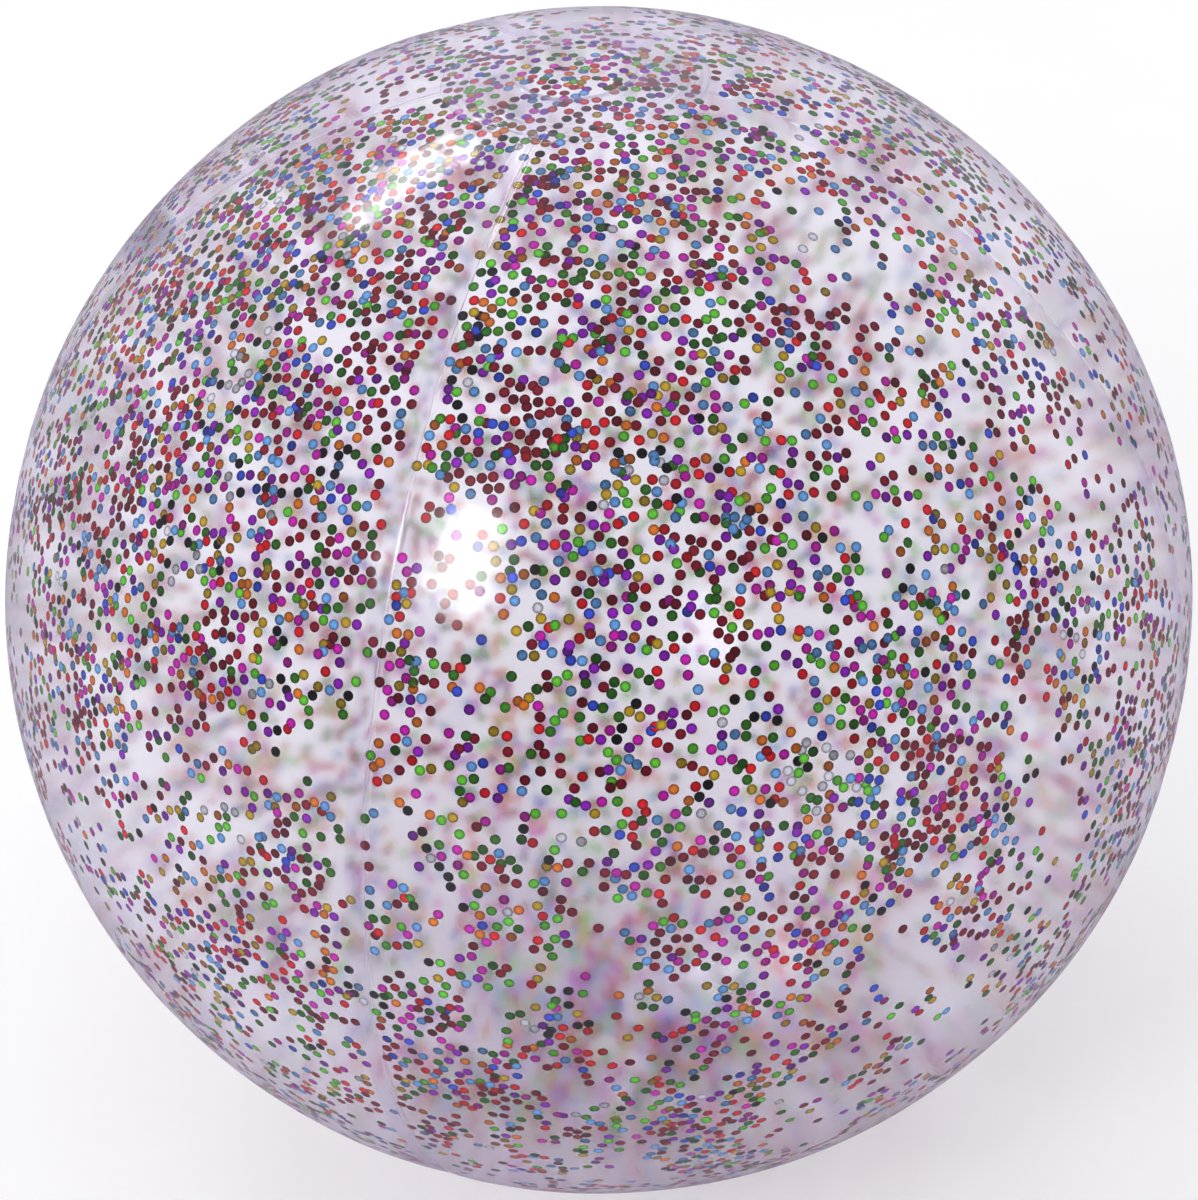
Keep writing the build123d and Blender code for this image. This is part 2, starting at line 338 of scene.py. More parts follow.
def waves(directions, wavelength, seed):
    """Smooth random field over the ball, mostly between -1 and 1, as a sum of plane waves."""
    rng = np.random.default_rng(seed)
    heads = unit_rows(rng.normal(size=(PLANE_WAVES, 3)))
    numbers = FULL_TURN * BALL_RADIUS / wavelength * rng.uniform(*WAVE_SPREAD, PLANE_WAVES)
    phases = rng.uniform(0, FULL_TURN, PLANE_WAVES)
    return np.cos(directions @ (heads * numbers[:, None]).T + phases).sum(axis=1) / math.sqrt(PLANE_WAVES)


def seam_distance(directions):
    """Distance along the film to the nearest seam, in metres."""
    normals = np.stack([-np.sin(SEAMS), np.cos(SEAMS), np.zeros(len(SEAMS))])
    heads = np.stack([np.cos(SEAMS), np.sin(SEAMS), np.zeros(len(SEAMS))])
    off = np.abs(directions @ normals)
    off[directions @ heads < 0] = 2.0  # out of reach, because a seam is only half a circle
    return BALL_RADIUS * off.min(axis=1)


def pole_distance(directions):
    """Distance along the film to the nearest pole, in metres."""
    return np.arccos(np.clip(np.abs(directions[:, 2]), 0, 1)) * BALL_RADIUS


def film_dip(directions):
    """How far the film lies inside the true sphere: drawn in at seams, puckered there and at the caps."""
    seam = seam_distance(directions)
    pole = pole_distance(directions)
    broad = BROAD_DIP * (1 + waves(directions, BROAD_WAVE, BROAD_SEED) * BROAD_SWING)
    drawn = SEAM_DIP * np.exp(-np.sqrt(seam**2 + SEAM_DIP_ROUNDING**2) / SEAM_DIP_REACH)
    seam_wave = waves(directions, SEAM_PUCKER_WAVE, SEAM_PUCKER_SEED)
    seam_pucker = SEAM_PUCKER * np.exp(-seam / SEAM_PUCKER_REACH) * seam_wave
    longitude = np.arctan2(directions[:, 1], directions[:, 0])
    stray = CAP_FOLD_STRAY * waves(directions, CAP_FOLD_WAVE, CAP_FOLD_SEED)
    fold = np.cos(CAP_FOLDS * longitude + stray)
    cap_pucker = CAP_PUCKER * np.exp(-(((pole - CAP_PUCKER_RADIUS) / CAP_PUCKER_REACH) ** 2)) * fold
    return broad + drawn + seam_pucker + cap_pucker + RIPPLE * waves(directions, RIPPLE_WAVE, RIPPLE_SEED)


def bead(distance):
    """Height of a melted weld edge at this distance from it."""
    return BEAD_HEIGHT * np.exp(-((distance / BEAD_WIDTH) ** 2))


# ---------------------------------------------------------------- mesh helpers


def new_object(name, points, faces, smooth=True):
    """A mesh object from points and faces."""
    mesh = bpy.data.meshes.new(name)
    mesh.from_pydata([tuple(p) for p in points], [], [tuple(f) for f in faces])
    mesh.validate()
    mesh.polygons.foreach_set("use_smooth", [smooth] * len(mesh.polygons))
    mesh.update()
    made = bpy.data.objects.new(name, mesh)
    bpy.context.scene.collection.objects.link(made)
    return made


def flipped(faces):
    """The same faces, facing the other way."""
    return [tuple(reversed(face)) for face in faces]


def grid_faces(rows, columns, first=0, closed=False):
    """Quads over a grid of points, stored row by row. closed joins the last column to the first."""
    faces = []
    for r in range(rows - 1):
        for c in range(columns if closed else columns - 1):
            n = (c + 1) % columns
            low = first + r * columns
            high = low + columns
            faces.append((low + c, low + n, high + n, high + c))
    return faces


def sheet_solid(name, outer, inner, rows, columns):
    """A thin closed sheet from two grids of points, with its four edges shut."""
    count = rows * columns
    faces = flipped(grid_faces(rows, columns)) + grid_faces(rows, columns, count)
    for c in range(columns - 1):
        faces.append((c, c + 1, count + c + 1, count + c))
        a = (rows - 1) * columns + c
        faces.append((a + 1, a, count + a, count + a + 1))
    for r in range(rows - 1):
        a = r * columns
        b = a + columns
        faces.append((b, a, count + a, count + b))
        a += columns - 1
        b += columns - 1
        faces.append((a, b, count + b, count + a))
    return new_object(name, np.concatenate([outer, inner]), faces)


# ---------------------------------------------------------------- film panels and caps


def panel_columns(span, ring):
    """Longitudes across a panel at a ring of this radius, and how far each lies past the two seams."""
    start, end = span
    near = np.arange(-LAP_HALF, SEAM_ZONE, SEAM_PITCH)
    far = np.arange(-SEAM_ZONE, LAP_HALF + SEAM_PITCH / 2, SEAM_PITCH)
    near_turn = start + np.arcsin(np.clip(near / ring, -1, 1))
    far_turn = end + np.arcsin(np.clip(far / ring, -1, 1))
    count = int((end - start) * BALL_RADIUS / PANEL_PITCH)
    between = np.linspace(near_turn[-1], far_turn[0], count + 2)[1:-1]
    turns = np.concatenate([near_turn, between, far_turn])
    from_near = np.concatenate([near, np.full(count + len(far), SEAM_ZONE)])
    from_far = np.concatenate([np.full(len(near) + count, -SEAM_ZONE), far])
    return turns, from_near, from_far


def film_panel(name):
    """One gore. Its stepped near edge runs under one neighbour and its far edge lies over the other."""
    mouth = math.asin(MOUTH_RADIUS / BALL_RADIUS)
    rows = int(math.pi * BALL_RADIUS / PANEL_PITCH)
    outer = []
    inner = []
    for colatitude in np.linspace(mouth, math.pi - mouth, rows):
        ring = BALL_RADIUS * math.sin(colatitude)
        turns, from_near, from_far = panel_columns(SPANS[name], ring)
        x = np.cos(turns) * math.sin(colatitude)
        y = np.sin(turns) * math.sin(colatitude)
        directions = np.stack([x, y, np.full(len(turns), math.cos(colatitude))], axis=1)
        sunk = (FILM + WELD_GAP) * (1 - smoothstep(STEP_START, STEP_END, from_near))
        raised = bead(from_far - LAP_HALF) - bead(from_near + LAP_HALF)
        raised -= bead(from_near - STEP_START) * STEP_GROOVE
        radius = BALL_RADIUS - film_dip(directions) - sunk + raised
        thickness = FILM + np.maximum(raised, 0)
        outer.append(directions * radius[:, None])
        inner.append(directions * (radius - thickness)[:, None])
    return sheet_solid(name + "_film", np.concatenate(outer), np.concatenate(inner), rows, len(turns))


def cap_directions(side):
    """The cap's middle, then ring after ring of points, as directions from the ball's centre."""
    rings = [np.array([[0.0, 0.0, side]])]
    turns = circle_turns(CAP_SPOKES)
    for radius in np.arange(CAP_PITCH, CAP_RADIUS + CAP_PITCH / 2, CAP_PITCH):
        x = np.cos(turns) * radius / BALL_RADIUS
        y = np.sin(turns) * radius / BALL_RADIUS
        level = math.sqrt(1 - (radius / BALL_RADIUS) ** 2)
        rings.append(np.stack([x, y, np.full(CAP_SPOKES, side * level)], axis=1))
    return np.concatenate(rings)


def film_cap(name, side):
    """Round cap with the concentric ridges of its ring weld."""
    directions = cap_directions(side)
    reach = np.linalg.norm(directions[:, :2], axis=1) * BALL_RADIUS
    ridge = sum(np.exp(-(((reach - r) / CAP_RIDGE_WIDTH) ** 2)) for r in CAP_RIDGES) * CAP_RIDGE_HEIGHT
    base = BALL_RADIUS + WELD_GAP - film_dip(directions)
    top = directions * (base + FILM + ridge)[:, None]
    bottom = directions * base[:, None]
    count = len(directions)
    rings = (count - 1) // CAP_SPOKES
    faces = []
    for first, outward in ((0, side > 0), (count, side < 0)):
        found = [(first, first + 1 + c, first + 1 + (c + 1) % CAP_SPOKES) for c in range(CAP_SPOKES)]
        found += flipped(grid_faces(rings, CAP_SPOKES, first + 1, closed=True))
        faces += found if outward else flipped(found)
    edge = 1 + (rings - 1) * CAP_SPOKES
    for c in range(CAP_SPOKES):
        n = (c + 1) % CAP_SPOKES
        rim = (edge + c, count + edge + c, count + edge + n, edge + n)
        faces.append(rim if side > 0 else tuple(reversed(rim)))
    return new_object(name + "_film", np.concatenate([top, bottom]), faces)


# ---------------------------------------------------------------- loose glitter


def crowding(directions):
    """How likely a dot is to stay at each place, from 0 to 1."""
    field = np.full(len(directions), CROWDING_BASE)
    for strength, wavelength, seed in CROWDING_WAVES:
        field += strength * waves(directions, wavelength, seed)
    for longitude, latitude, reach, strength in PATCHES:
        lon = math.radians(longitude)
        lat = math.radians(latitude)
        centre = np.array([math.cos(lat) * math.cos(lon), math.cos(lat) * math.sin(lon), math.sin(lat)])
        off = np.degrees(np.arccos(np.clip(directions @ centre, -1, 1)))
        field += PATCH_SCALE * strength * np.exp(-((off / reach) ** 2))
    pole = pole_distance(directions)
    field += CAP_CROWDING * np.exp(-(((pole - CAP_CROWDING_RADIUS) / CAP_CROWDING_REACH) ** 2))
    seam = seam_distance(directions) + (pole < CAP_RADIUS) * SEAM_ZONE
    field *= SEAM_CHANCE + (1 - SEAM_CHANCE) * smoothstep(*SEAM_CLEARING, seam)
    valve = np.arccos(np.clip(directions @ np.array(VALVE_AXIS), -1, 1)) * BALL_RADIUS
    return np.clip(field, LEAST_CROWDING, 1) * (valve > VALVE_CLEAR_RADIUS)


def cling(tries, places, rng):
    """Moves some of the tries to the side of a dot that is already placed."""
    clinging = rng.uniform(size=len(tries)) < CLING_SHARE
    hosts = np.array(places)[rng.integers(len(places), size=len(tries))]
    steps = DOT_RADIUS / BALL_RADIUS * rng.uniform(*CLING_DISTANCES, len(tries))
    beside = unit_rows(hosts + unit_rows(np.cross(hosts, tries)) * steps[:, None])
    return np.where(clinging[:, None], beside, tries)


def scatter_dots():
    """Directions of all dots, in crowded and bare patches, with chains and clumps that cling together."""
    rng = np.random.default_rng(SCATTER_SEED)
    reach = DOT_RADIUS / BALL_RADIUS
    cell = 2 * reach
    taken = {}
    places = []
    while len(places) < DOT_COUNT:
        tries = unit_rows(rng.normal(size=(TRIES_AT_ONCE, 3)))
        if len(places) > FIRST_HOSTS:
            tries = cling(tries, places, rng)
        keep = rng.uniform(size=len(tries)) < crowding(tries)
        overlapping = rng.uniform(size=len(tries)) < OVERLAP_SHARE
        limits = np.where(overlapping, OVERLAP_DISTANCE * reach, FREE_DISTANCE * reach) ** 2
        for place, limit in zip(tries[keep], limits[keep]):
            x, y, z = np.floor(place / cell).astype(int)
            around = [
                other
                for dx in (-1, 0, 1)
                for dy in (-1, 0, 1)
                for dz in (-1, 0, 1)
                for other in taken.get((x + dx, y + dy, z + dz), ())
            ]
            if any(((place - other) ** 2).sum() < limit for other in around):
                continue
            taken.setdefault((x, y, z), []).append(place)
            places.append(place)
            if len(places) == DOT_COUNT:
                break
    return np.array(places)


def dot_mesh(name, places, rng):
    """All the dots of one colour: thin round discs, each with its own small tilt and depth."""
    turns = circle_turns(DOT_SIDES)
    circle = np.stack([np.cos(turns), np.sin(turns)], axis=1) * DOT_RADIUS
    radii = BALL_RADIUS - film_dip(places) - rng.uniform(*DOT_DEPTHS, len(places))
    radii -= LAP_DEPTH * (seam_distance(places) < STEP_END + DOT_RADIUS)
    points = []
    faces = []
    for place, radius in zip(places, radii):
        facing = Vector(place)
        tilt_way = facing.cross(Vector(rng.normal(size=3))).normalized()
        lean = min(DOT_TILT * abs(rng.normal()), DOT_MOST_TILT)
        facing = (facing + tilt_way * math.tan(lean)).normalized()
        across = facing.orthogonal().normalized()
        along = facing.cross(across)
        top = len(points)
        bottom = top + DOT_SIDES + 1
        for height in (0.0, -DOT_THICKNESS):
            centre = Vector(place) * radius + facing * height
            points += [centre + across * x + along * y for x, y in circle] + [centre]
        for i in range(DOT_SIDES):
            n = (i + 1) % DOT_SIDES
            faces.append((top + i, top + n, top + DOT_SIDES))
            faces.append((bottom + n, bottom + i, bottom + DOT_SIDES))
            faces.append((top + n, top + i, bottom + i, bottom + n))
    made = new_object(name + "_dots", points, faces, smooth=False)
    rim = made.data.attributes.new(RIM, "FLOAT", "POINT")
    rim.data.foreach_set("value", ([1.0] * DOT_SIDES + [0.0]) * (2 * len(places)))
    return made


# ---------------------------------------------------------------- valve


def valve_point(side, down, height):
    """The point this far sideways and down from the valve's axis, and this high over the film."""
    return VALVE_MOUTH + VALVE_SIDE * side + VALVE_DOWN * down + VALVE_AXIS * height


def valve_ring(radius, height, count):
    """A circle of points round the valve's axis."""
    return [valve_point(radius * math.cos(t), radius * math.sin(t), height) for t in circle_turns(count)]


def valve_frame(name):
    """How far the node's points are sideways and down from the valve's axis, and high over the film."""
    points = node_points(name) - np.array(VALVE_MOUTH)
    return [points @ np.array(axis) for axis in (VALVE_SIDE, VALVE_DOWN, VALVE_AXIS)]


def profile_normals(profile):
    """For each point of a profile, the normal to the run between its two neighbours, of length 1."""
    normals = []
    for i in range(len(profile)):
        a = profile[max(i - 1, 0)]
        b = profile[min(i + 1, len(profile) - 1)]
        run = Vector((b[0] - a[0], b[1] - a[1])).normalized()
        normals.append(Vector((-run.y, run.x)))
    return normals


def boot_profile(wide, narrow, top, bottom):
    """The boot's middle line as radius and height: a flat lip, then a falling funnel with soft folds."""
    profile = []
    for t in np.linspace(0, 1, BOOT_STEPS):
        if t < BOOT_LIP_SHARE:
            profile.append((wide - BOOT_LIP * t / BOOT_LIP_SHARE, top - BOOT_SHEET / 2))
            continue
        s = (t - BOOT_LIP_SHARE) / (1 - BOOT_LIP_SHARE)
        fall = smoothstep(0, 1, s) * BOOT_ROUNDING + s * (1 - BOOT_ROUNDING)
        radius = wide - BOOT_LIP - (wide - BOOT_LIP - narrow - BOOT_SHEET / 2) * s
        fold = BOOT_FOLD * math.sin(s * math.pi * BOOT_FOLDS) * math.sin(s * math.pi)
        profile.append((radius + fold, top - BOOT_SHEET / 2 - (top - bottom - BOOT_SHEET) * fall))
    return profile


def soft_boot():
    """The funnel that holds the stem, as a closed sheet, and where it ends on the valve's axis."""
    sides, downs, heights = valve_frame("valve_boot")
    reach = np.hypot(sides, downs)
    top = heights.max()
    bottom = heights.min()
    profile = boot_profile(reach.max(), reach.min(), top, bottom)
    outer = []
    inner = []
    for (radius, height), normal in zip(profile, profile_normals(profile)):
        half = normal * BOOT_SHEET / 2
        outer += valve_ring(radius + half.x, height + half.y, BOOT_SPOKES)
        inner += valve_ring(radius - half.x, height - half.y, BOOT_SPOKES)
    count = BOOT_STEPS * BOOT_SPOKES
    faces = grid_faces(BOOT_STEPS, BOOT_SPOKES, closed=True)
    faces += flipped(grid_faces(BOOT_STEPS, BOOT_SPOKES, count, closed=True))
    last = count - BOOT_SPOKES
    for c in range(BOOT_SPOKES):
        n = (c + 1) % BOOT_SPOKES
        faces.append((n, c, count + c, count + n))
        faces.append((last + c, last + n, count + last + n, count + last + c))
    made = new_object("valve_boot_skin", outer + inner, faces)
    made.data.flip_normals()
    return made, valve_point(0, 0, top), valve_point(0, 0, bottom)


def strap_section(width):
    """Outline of the flat band, with rounded edges."""
    flat, thin = STRAP_SQUARENESS
    section = []
    for turn in circle_turns(STRAP_SIDES):
        c = math.cos(turn)
        s = math.sin(turn)
        across = width / 2 * math.copysign(abs(c) ** flat, c)
        out = STRAP_THICKNESS / 2 * math.copysign(abs(s) ** thin, s)
        section.append((across, out))
    return section


def soft_strap():
    """The strap from the stem to the plug's head, along the CAD strap's loop, and where it ends."""
    sides, downs, heights = valve_frame("plug_strap")
    low = heights.min() + STRAP_THICKNESS / 2
    high = heights.max() - STRAP_THICKNESS / 2
    bend = (high - low) / 2
    corner = sides.max() - STRAP_THICKNESS / 2 - bend
    lower, round_bend, upper = STRAP_STEPS
    begin = sides.min()
    path = [(begin + (corner - begin) * t, low) for t in np.linspace(0, 1, lower, endpoint=False)]
    for turn in np.linspace(-math.pi / 2, math.pi / 2, round_bend):
        path.append((corner + bend * math.cos(turn), (low + high) / 2 + bend * math.sin(turn)))
    path += [(corner + (STRAP_END - corner) * t, high) for t in np.linspace(STRAP_FIRST_STEP, 1, upper)]
    points = []
    for (side, height), normal in zip(path, profile_normals(path)):
        for across, out in strap_section(downs.max() - downs.min()):
            points.append(valve_point(side + normal.x * out, across, height + normal.y * out))
    faces = grid_faces(len(path), STRAP_SIDES, closed=True)
    faces.append(tuple(reversed(range(STRAP_SIDES))))
    faces.append(tuple(range(len(points) - STRAP_SIDES, len(points))))
    made = new_object("plug_strap_band", points, faces)
    return made, valve_point(0, 0, low), valve_point(0, 0, high)


# ---------------------------------------------------------------- materials


class Nodes:
    """Short calls for building the node tree of a material or world."""

    COLOUR_A = 6  # where a Mix node keeps its two colours
    COLOUR_B = 7

    def __init__(self, owner, output="OutputMaterial"):
        self.owner = owner
        owner.use_nodes = True
        self.tree = owner.node_tree
        self.tree.nodes.clear()
        self.output = self.add(output)

    def add(self, kind, operation=None, **inputs):
        node = self.tree.nodes.new("ShaderNode" + kind)
        if operation:
            node.operation = operation
        for key, value in inputs.items():
            self.set(node.inputs[key.replace("_", " ")], value)
        return node

    def set(self, socket, value):
        if isinstance(value, bpy.types.NodeSocket):
            self.tree.links.new(value, socket)
        else:
            socket.default_value = value

    def math(self, operation, a, b):
        node = self.add("Math", operation)
        self.set(node.inputs[0], a)
        self.set(node.inputs[1], b)
        return node.outputs[0]

    def scaled(self, value, power, factor):
        """value to a power, times a factor."""
        return self.math("MULTIPLY", self.math("POWER", value, power), factor)

    def mix(self, share, a, b):
        node = self.add("MixShader")
        self.set(node.inputs[0], share)
        self.set(node.inputs[1], a)
        self.set(node.inputs[2], b)
        return node.outputs[0]

    def colour_mix(self, share, a, b, blend="MIX"):
        node = self.add("Mix")
        node.data_type = "RGBA"
        node.blend_type = blend
        self.set(node.inputs[0], share)
        self.set(node.inputs[self.COLOUR_A], a)
        self.set(node.inputs[self.COLOUR_B], b)
        return node.outputs[2]

    def ramp(self, value, stops):
        node = self.add("ValToRGB")
        self.set(node.inputs[0], value)
        elements = node.color_ramp.elements
        while len(elements) < len(stops):
            elements.new(0.5)
        for element, (place, colour) in zip(elements, stops):
            element.position = place
            element.color = colour
        return node.outputs[0]

    def noise(self, scale, detail, roughness=0.5):
        place = self.add("TexCoord").outputs["Object"]
        node = self.add("TexNoise", Vector=place, Scale=scale, Detail=detail, Roughness=roughness)
        return node.outputs["Fac"]

    def bump(self, height, strength, distance):
        return self.add("Bump", Strength=strength, Distance=distance, Height=height).outputs[0]

    def facing(self, blend):
        """0 where the surface faces the viewer and 1 where it is seen edge on."""
        return self.add("LayerWeight", Blend=blend).outputs["Facing"]

    def mirrored(self):
        """1 for a ray that was mirrored by a surface, not bent through it."""
        path = self.add("LightPath")
        return self.math("SUBTRACT", path.outputs["Is Glossy Ray"], path.outputs["Is Transmission Ray"])

    def clear(self, colour):
        return self.add("BsdfTransparent", Color=colour).outputs[0]

    def shine(self, normal):
        return self.add("BsdfGlossy", Color=WHITE, Roughness=MIRROR_BLUR, Normal=normal).outputs[0]

    def done(self, surface):
        self.tree.links.new(surface, self.output.inputs["Surface"])
        return self.owner


def film_material():
    """Clear glossy film with a lavender cast. It mirrors and tints more where it is seen edge on."""
    n = Nodes(bpy.data.materials.new("clear_film"))
    grain = n.noise(scale=420.0, detail=3.0, roughness=0.6)
    swell = n.noise(scale=38.0, detail=2.0)
    height = n.math("ADD", n.math("MULTIPLY", grain, FILM_GRAIN), swell)
    normal = n.bump(height, strength=0.35, distance=FILM_BUMP)
    facing = n.facing(blend=0.5)
    edge = n.math("POWER", facing, FILM_EDGE_POWER)
    path = n.add("LightPath")
    tint = n.colour_mix(edge, FILM_TINT, FILM_EDGE_TINT)
    bent = n.add("BsdfRefraction", Color=tint, Roughness=FILM_SCATTER, IOR=FILM_BEND, Normal=normal)
    passing = n.mix(path.outputs["Is Camera Ray"], n.clear(tint), bent.outputs[0])
    lit = n.add("BsdfDiffuse", Color=FILM_MILK, Roughness=1.0).outputs[0]
    glow = n.add("BsdfTranslucent", Color=FILM_MILK).outputs[0]
    veil = n.mix(FILM_GLOW_SHARE, lit, glow)
    cloud = n.math("ADD", n.noise(scale=16.0, detail=4.0, roughness=0.6), 0.5)
    cloud = n.math("MULTIPLY", cloud, FILM_HAZE)
    veil_share = n.math("ADD", cloud, n.math("MULTIPLY", edge, FILM_EDGE_HAZE))
    body = n.mix(veil_share, passing, veil)
    mirror = n.math("ADD", n.scaled(facing, MIRROR_POWER, FILM_EDGE_MIRROR), FILM_MIRROR)
    skin = n.mix(mirror, body, n.shine(normal))
    simple = n.math("MAXIMUM", path.outputs["Is Shadow Ray"], path.outputs["Is Diffuse Ray"])
    entering = n.mix(simple, skin, n.clear(FILM_SHADOW))
    return n.done(n.mix(n.add("NewGeometry").outputs["Backfacing"], entering, n.clear(WHITE)))


def glitter_material(name, colour):
    """Dyed metallised film dot: darker at its edge, and painted paler on the side that faces into the
    ball, as painted backlight for light shining through it.
    """
    n = Nodes(bpy.data.materials.new(name))
    dark = (*(DOT_DARK * channel for channel in colour), 1)
    plain = (*colour, 1)
    light = (*(min(1, DOT_LIGHT * channel + DOT_LIFT) for channel in colour), 1)
    # painted backlight: a paler copy of the colour for the side that faces into the ball
    pale = (*(channel**DOT_BACKLIGHT_PALING for channel in colour), 1)
    geometry = n.add("NewGeometry")
    shade = n.ramp(geometry.outputs["Random Per Island"], ((0.0, dark), (0.6, plain), (1.0, light)))
    grain = n.noise(scale=1500.0, detail=2.0)
    tone = n.colour_mix(DOT_GRAIN_SHARE, shade, n.ramp(grain, ((0.35, dark), (0.7, light))))
    rim = n.add("Attribute")
    rim.attribute_name = RIM
    begin, full = DOT_RIM_SPAN
    edge = n.ramp(rim.outputs["Fac"], ((begin, WHITE), (full, DOT_RIM_SHADE)))
    outside = n.colour_mix(1.0, tone, edge, "MULTIPLY")
    # Painted backlight: faces that point into the ball show the paler copy, standing in for light shining
    # through the dot from behind
    inward = n.add("VectorMath", "DOT_PRODUCT")
    n.set(inward.inputs[0], geometry.outputs["True Normal"])
    n.set(inward.inputs[1], n.add("TexCoord").outputs["Object"])
    inside = n.math("LESS_THAN", inward.outputs["Value"], 0.0)
    seen = n.colour_mix(inside, outside, pale)
    normal = n.bump(grain, strength=0.25, distance=0.05 * MM)
    body = n.add("BsdfPrincipled", Base_Color=seen, Metallic=0.15, Roughness=0.3, Normal=normal)
    body.inputs["Specular IOR Level"].default_value = DOT_SPECULAR
    return n.done(body.outputs[0])


def vinyl_material():
    """Thicker soft moulded vinyl of the valve: clear, a little milky and glossy."""
    n = Nodes(bpy.data.materials.new("valve_vinyl"))
    wave = n.noise(scale=900.0, detail=3.0)
    normal = n.bump(wave, strength=0.2, distance=0.05 * MM)
    lit = n.add("BsdfPrincipled", Base_Color=VINYL_MILK, Roughness=0.3, Normal=normal).outputs[0]
    glow = n.add("BsdfTranslucent", Color=VINYL_GLOW).outputs[0]
    facing = n.facing(blend=0.4)
    cloud = n.math("ADD", n.math("MULTIPLY", wave, VINYL_CLOUD_WAVE), VINYL_CLOUD)
    share = n.math("ADD", n.math("MULTIPLY", facing, VINYL_EDGE_CLOUD), cloud)
    body = n.mix(share, n.clear(VINYL_CAST), n.mix(VINYL_GLOW_SHARE, lit, glow))
    mirror = n.math("ADD", n.scaled(facing, MIRROR_POWER, VINYL_EDGE_MIRROR), VINYL_MIRROR)
    return n.done(n.mix(mirror, body, n.shine(normal)))


def floor_material():
    """Plain pale studio floor."""
    n = Nodes(bpy.data.materials.new("studio_floor"))
    low, high = FLOOR_TONES
    tone = n.ramp(n.noise(scale=3.0, detail=3.0), ((0.3, low), (0.7, high)))
    seen = n.colour_mix(n.mirrored(), tone, FLOOR_MIRRORED)
    return n.done(n.add("BsdfDiffuse", Color=seen).outputs[0])


def paint(made, material):
    """Gives the piece this one material."""
    made.data.materials.clear()
    made.data.materials.append(material)


# ---------------------------------------------------------------- assembly


def stand_in(made, node, material):
    """Paints a piece of the ball's body, and lets it stand for a CAD node."""
    paint(made, material)
    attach(made, "ball")
    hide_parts(node)


def cross_joint(soft, node, material):
    """Paints a soft valve piece, bakes its placement into its points, and lets it stand for a CAD node.
    """
    made, start, end = soft
    paint(made, material)
    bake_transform(made)
    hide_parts(node)


def pierce_for_valve(panel):
    """Cuts the valve's round hole through the film."""
    points = []
    for height in (-CUTTER_HALF_HEIGHT, CUTTER_HALF_HEIGHT):
        points += valve_ring(VALVE_HOLE_RADIUS, height, VALVE_HOLE_SPOKES)
    faces = flipped(grid_faces(2, VALVE_HOLE_SPOKES, closed=True))
    faces.append(tuple(range(VALVE_HOLE_SPOKES)))
    faces.append(tuple(reversed(range(VALVE_HOLE_SPOKES, 2 * VALVE_HOLE_SPOKES))))
    cutter = new_object("valve_hole_cutter", points, faces, smooth=False)
    cutter.data.flip_normals()
    cut = panel.modifiers.new("valve_hole", "BOOLEAN")
    cut.operation = "DIFFERENCE"
    cut.object = cutter
    cut.solver = "EXACT"
    bpy.context.view_layer.update()
    evaluated = panel.evaluated_get(bpy.context.evaluated_depsgraph_get())
    mesh = bpy.data.meshes.new_from_object(evaluated)
    panel.modifiers.clear()
    panel.data = mesh
    bpy.data.objects.remove(cutter)


def build_film():
    clear = film_material()
    for name in PANELS:
        made = film_panel(name)
        if name == VALVE_PANEL:
            pierce_for_valve(made)
        stand_in(made, name, clear)
    for name, side in CAPS:
        stand_in(film_cap(name, side), name, clear)


def build_glitter():
    """Deals the dots out to the colours. Neighbours share a colour a little more often than by chance."""
    places = scatter_dots()
    rng = np.random.default_rng(DOT_SEED)
    order = np.argsort(rng.uniform(size=len(places)) + HUE_CLUMPING * waves(places, HUE_WAVE, HUE_SEED))
    shares = np.array([share for share, colour in GLITTER.values()])
    ends = np.round(np.cumsum(shares) / shares.sum() * len(places)).astype(int)
    first = 0
    for (node, (share, colour)), end in zip(GLITTER.items(), ends):
        made = dot_mesh(node, places[order[first:end]], rng)
        first = end
        stand_in(made, node, glitter_material(node, colour))


def build_valve():
    vinyl = vinyl_material()
    for name in ("valve_flange", "valve_stem", "valve_flap", "valve_plug"):
        paint(frame["nodes"][name], vinyl)
    cross_joint(soft_boot(), "valve_boot", vinyl)
    cross_joint(soft_strap(), "plug_strap", vinyl)


def build_floor():
    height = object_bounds()[0].z
    corners = [(x * FLOOR_HALF, y * FLOOR_HALF, height) for x, y in ((-1, -1), (1, -1), (1, 1), (-1, 1))]
    floor = new_object("studio_floor", corners, [(0, 1, 2, 3)], smooth=False)
    paint(floor, floor_material())


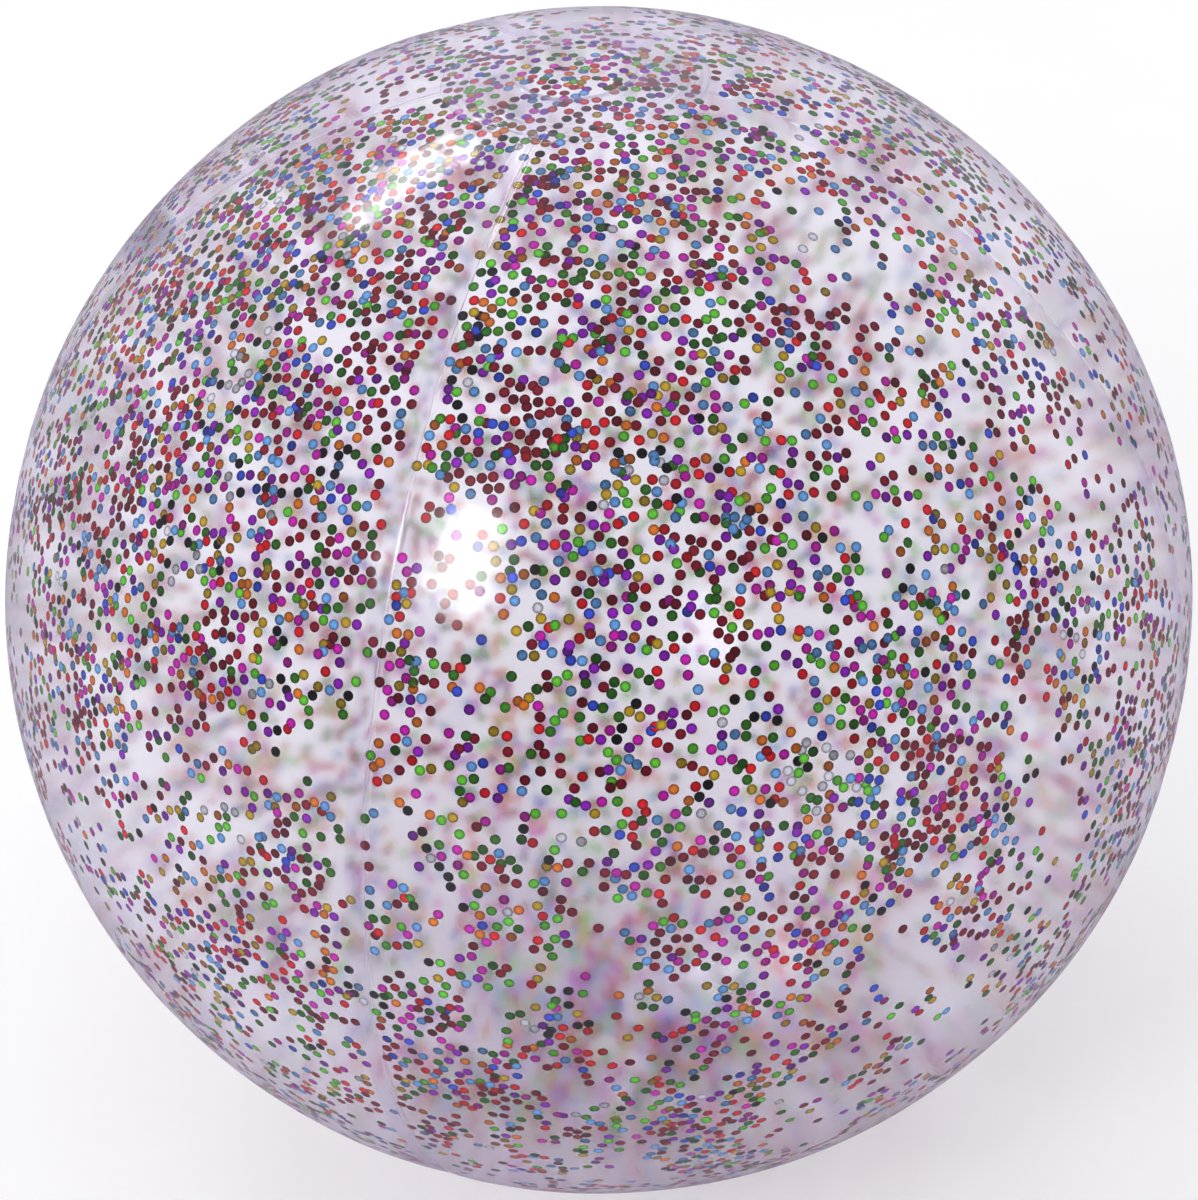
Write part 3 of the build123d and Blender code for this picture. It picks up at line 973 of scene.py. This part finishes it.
def build_world():
    """Even pale surroundings. The film mirrors them bright behind the ball and dark behind the camera."""
    n = Nodes(bpy.data.worlds.new("studio"), "OutputWorld")
    split = n.add("SeparateXYZ", Vector=n.add("TexCoord").outputs["Generated"])
    depth = n.math("MULTIPLY", n.math("ADD", split.outputs["Y"], 1.0), 0.5)  # 0 in front, 1 behind
    seen = n.colour_mix(n.mirrored(), WORLD_LIGHT, n.ramp(depth, WORLD_MIRRORED))
    bpy.context.scene.world = n.done(n.add("Background", Color=seen).outputs[0])


def add_softbox(name, direction, width, height, radiance):
    """Oblong soft light that faces the ball's centre."""
    data = bpy.data.lights.new(name, "AREA")
    data.shape = "RECTANGLE"
    data.size = width
    data.size_y = height
    data.energy = radiance * math.pi * width * height
    lamp = bpy.data.objects.new(name, data)
    lamp.location = Vector(direction).normalized() * SOFTBOX_DISTANCE
    lamp.rotation_euler = Vector(direction).to_track_quat("Z", "Y").to_euler()
    bpy.context.scene.collection.objects.link(lamp)


def build_camera():
    """Looks down on the ball along the picture's line of sight."""
    data = bpy.data.cameras.new("camera")
    camera = bpy.data.objects.new("camera", data)
    bpy.context.scene.collection.objects.link(camera)
    back = Vector((0, -math.cos(CAMERA_ELEVATION), math.sin(CAMERA_ELEVATION)))
    camera.location = back * BALL_RADIUS * CAMERA_DISTANCE_IN_RADII
    look = (-back).to_track_quat("-Z", "Y").to_matrix()
    camera.rotation_euler = (look @ Matrix.Rotation(CAMERA_ROLL, 3, "Z")).to_euler()
    silhouette = 1 / math.sqrt(CAMERA_DISTANCE_IN_RADII**2 - 1)
    data.sensor_width = SENSOR
    data.lens = SENSOR / 2 / (silhouette / FRAME_FILL)
    data.clip_start, data.clip_end = CAMERA_CLIP
    bpy.context.scene.camera = camera


def set_look():
    """Plain colour response, and enough transparent layers to see right through the ball."""
    scene = bpy.context.scene
    scene.view_settings.view_transform = "Standard"
    scene.view_settings.look = "None"
    scene.cycles.transparent_max_bounces = 40
    scene.cycles.max_bounces = 10
    scene.cycles.transmission_bounces = 8
    scene.cycles.glossy_bounces = 3
    scene.cycles.diffuse_bounces = 2
    scene.cycles.sample_clamp_indirect = 4.0


build_film()
build_glitter()
build_valve()
build_floor()
build_world()
for softbox in SOFTBOXES:
    add_softbox(*softbox)
build_camera()
set_look()
